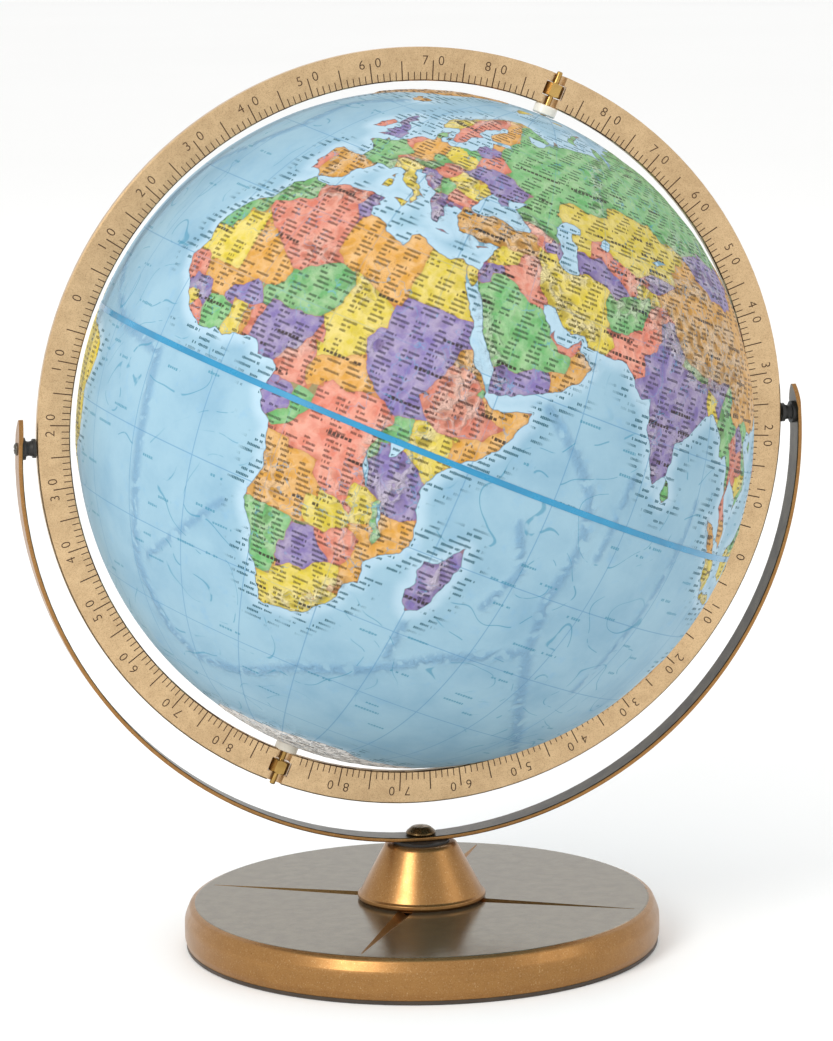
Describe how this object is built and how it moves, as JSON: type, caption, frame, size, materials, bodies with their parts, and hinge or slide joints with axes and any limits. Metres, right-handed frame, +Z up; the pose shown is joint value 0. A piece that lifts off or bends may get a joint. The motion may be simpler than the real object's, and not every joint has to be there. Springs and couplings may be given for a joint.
{
  "type": "desktop globe on stand",
  "caption": "Raised-relief world globe turning in a full graduated meridian ring that swings in a half-round yoke on a round weighted metal base.",
  "frame": {"origin": "centre of the base's resting face, on the table", "axes": "+Z up; X along the swing axis from yoke tip to yoke tip, with the north pole leaning towards +X; -Y is the front"},
  "size_m": [0.3642, 0.3052, 0.4097],
  "materials": {
    "black_trim": "satin",
    "bronze_paint": "metallic satin",
    "bronze_strip": "metallic satin",
    "ring_bronze": "metallic satin",
    "cover_board": "matte",
    "cast_ballast": "rough",
    "black_washer": "satin",
    "zinc_steel": "satin",
    "brass_bolt": "polished",
    "brass_rod": "satin",
    "white_plastic": "gloss",
    "ball_board": "matte",
    "printed_map": "varnished",
    "equator_tape": "gloss",
    "bush_plastic": "satin"
  },
  "bodies": {
    "stand": {"rim_trim": "black_trim", "base_shell": "bronze_paint", "bottom_cover": "cover_board", "ballast_plate": "cast_ballast", "pedestal_cone": "bronze_paint", "saddle_washer": "black_washer", "yoke": "bronze_strip", "tie_bolt": "brass_bolt", "lock_washer": "zinc_steel", "bolt_nut": "zinc_steel", "pivot_screw_left": "brass_bolt", "pivot_screw_right": "brass_bolt", "pivot_washers_left": "black_washer", "pivot_washers_right": "black_washer", "pivot_spacer_left": "zinc_steel", "pivot_spacer_right": "zinc_steel"},
    "meridian": {"meridian_ring": "ring_bronze", "north_axle_pin": "brass_rod", "south_axle_pin": "brass_rod", "north_axle_nut": "brass_rod", "south_axle_nut": "brass_rod", "north_pole_spacer": "white_plastic", "south_pole_spacer": "white_plastic"},
    "globe": {"north_hemisphere": "ball_board", "south_hemisphere": "ball_board", "equator_joint_ring": "ball_board", "north_map_skin": "printed_map", "south_map_skin": "printed_map", "equator_tape": "equator_tape", "north_pole_bush": "bush_plastic", "south_pole_bush": "bush_plastic"}
  },
  "joints": [
    {"name": "meridian_swing", "type": "hinge", "parent": "stand", "child": "meridian", "pos_m": [0, 0, 0.2375], "axis": [1, 0, 0], "continuous": true},
    {"name": "globe_spin", "type": "hinge", "parent": "meridian", "child": "globe", "pos_m": [0, 0, 0.2375], "axis": [0.3987, 0, 0.9171], "continuous": true}
  ]
}
